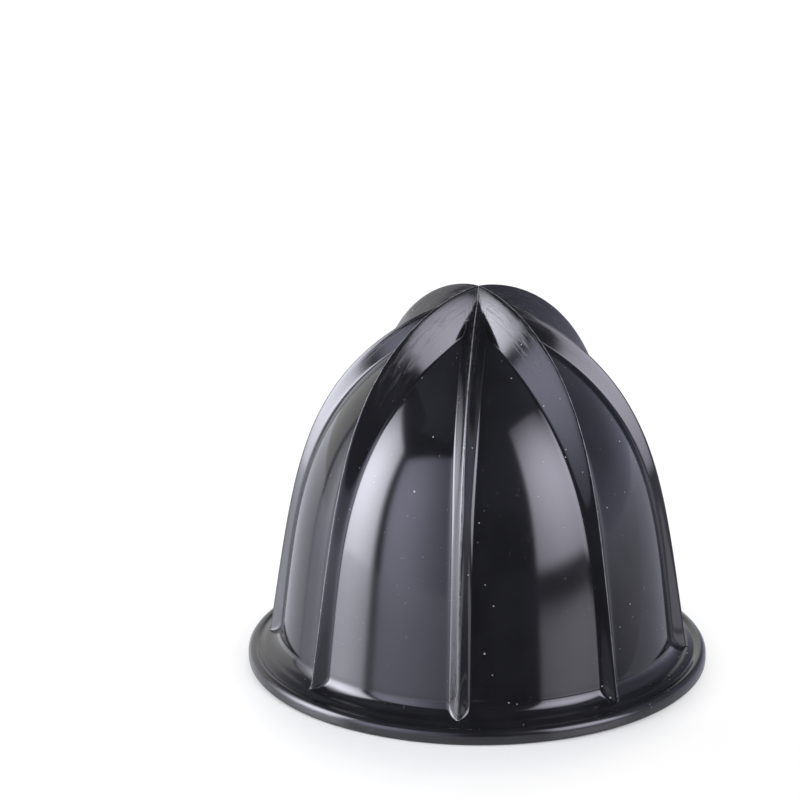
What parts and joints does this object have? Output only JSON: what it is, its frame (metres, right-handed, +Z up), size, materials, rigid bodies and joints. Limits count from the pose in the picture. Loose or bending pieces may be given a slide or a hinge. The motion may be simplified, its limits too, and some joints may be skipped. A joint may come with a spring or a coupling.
{
  "type": "juicing cone set",
  "caption": "Juicing cone set of an electric citrus juicer: a large ribbed cone with a rimmed flange lifts off a smaller ribbed cone, whose hub holds a drive socket, spring clip and lip seal.",
  "frame": {"origin": "centre of the flange's underside, on the surface that the set stands on", "axes": "+Z up along the cones' common axis, towards the tip; +X through a low rib, with the tall ribs on the diagonals"},
  "size_m": [0.086, 0.086, 0.072],
  "materials": {
    "large_cone_plastic": "high-gloss black moulding with fine hairline scratches",
    "small_cone_plastic": "gloss black moulding",
    "socket_nylon": "plain grey moulding",
    "clip_steel": "drawn spring wire",
    "seal_rubber": "matte"
  },
  "bodies": {
    "drive_cone": {"small_cone": "small_cone_plastic", "drive_socket": "socket_nylon", "shaft_clip": "clip_steel", "shaft_seal": "seal_rubber"},
    "juicing_cone": {"large_cone": "large_cone_plastic"}
  },
  "joints": [
    {"name": "cone_lift", "type": "slide", "parent": "drive_cone", "child": "juicing_cone", "axis": [0, 0, 1], "range_m": [0, 0.06]}
  ]
}
